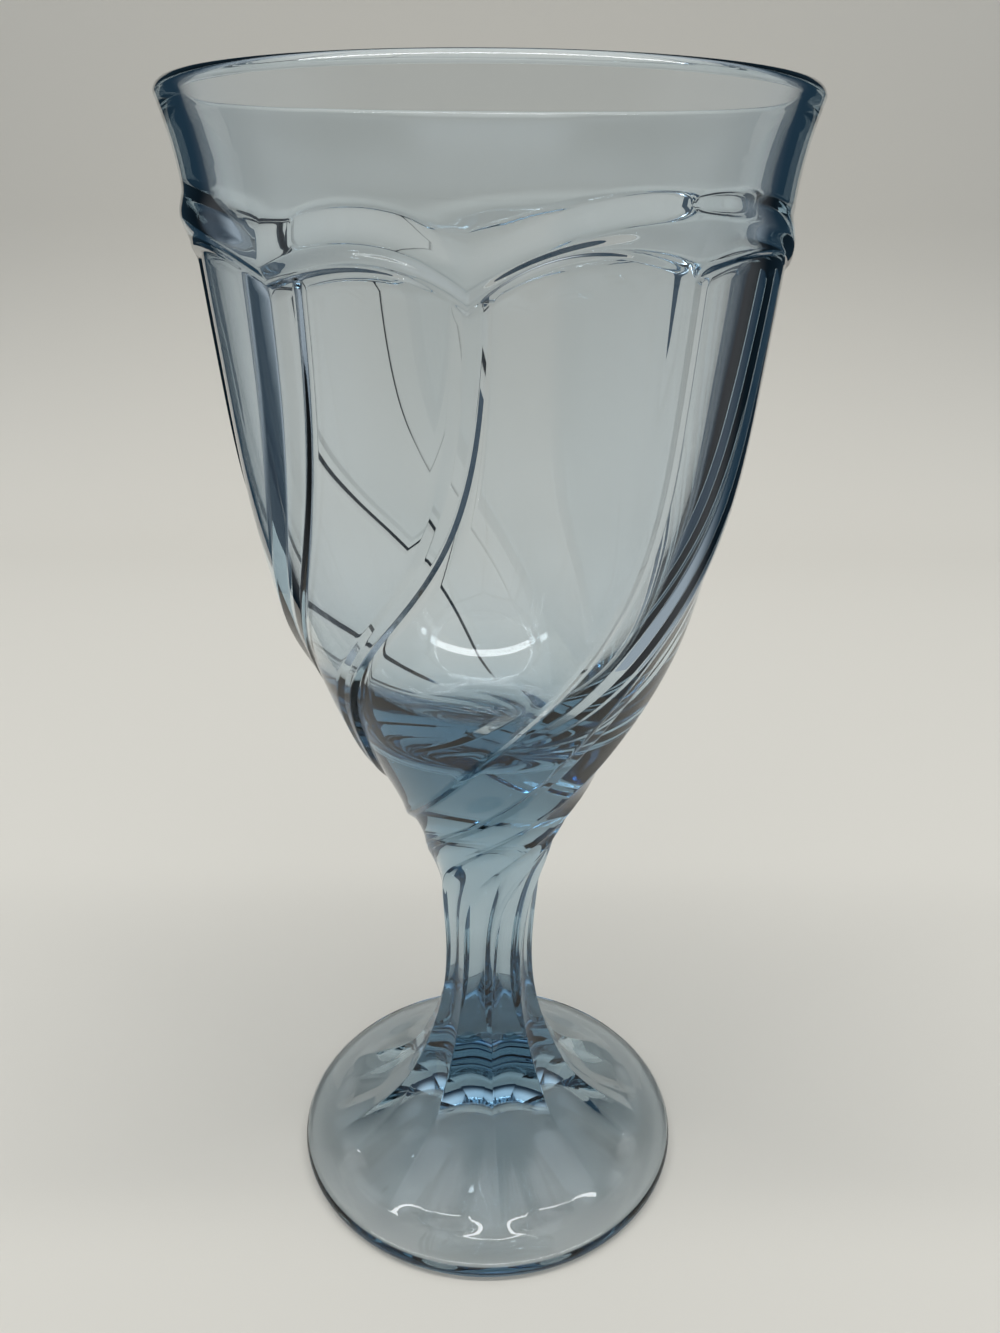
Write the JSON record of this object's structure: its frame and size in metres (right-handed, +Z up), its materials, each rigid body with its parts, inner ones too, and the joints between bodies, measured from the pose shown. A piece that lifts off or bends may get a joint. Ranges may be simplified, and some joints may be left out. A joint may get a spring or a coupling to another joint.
{
  "type": "water goblet",
  "caption": "Stemmed pressed-glass water goblet: flared rim, scalloped shoulder, and ribs that swirl down the bowl into a fluted stem on a round foot.",
  "frame": {"origin": "on the table, at the middle of the foot's rest ring, below the goblet's axis", "axes": "+Z up along the goblet's axis, -Y towards the front of the rib pattern, +X to the viewer's right"},
  "size_m": [0.087, 0.087, 0.181],
  "materials": {
    "glass": "gloss"
  },
  "bodies": {
    "root": {"bowl": "glass", "stem": "glass", "foot": "glass"}
  },
  "joints": []
}
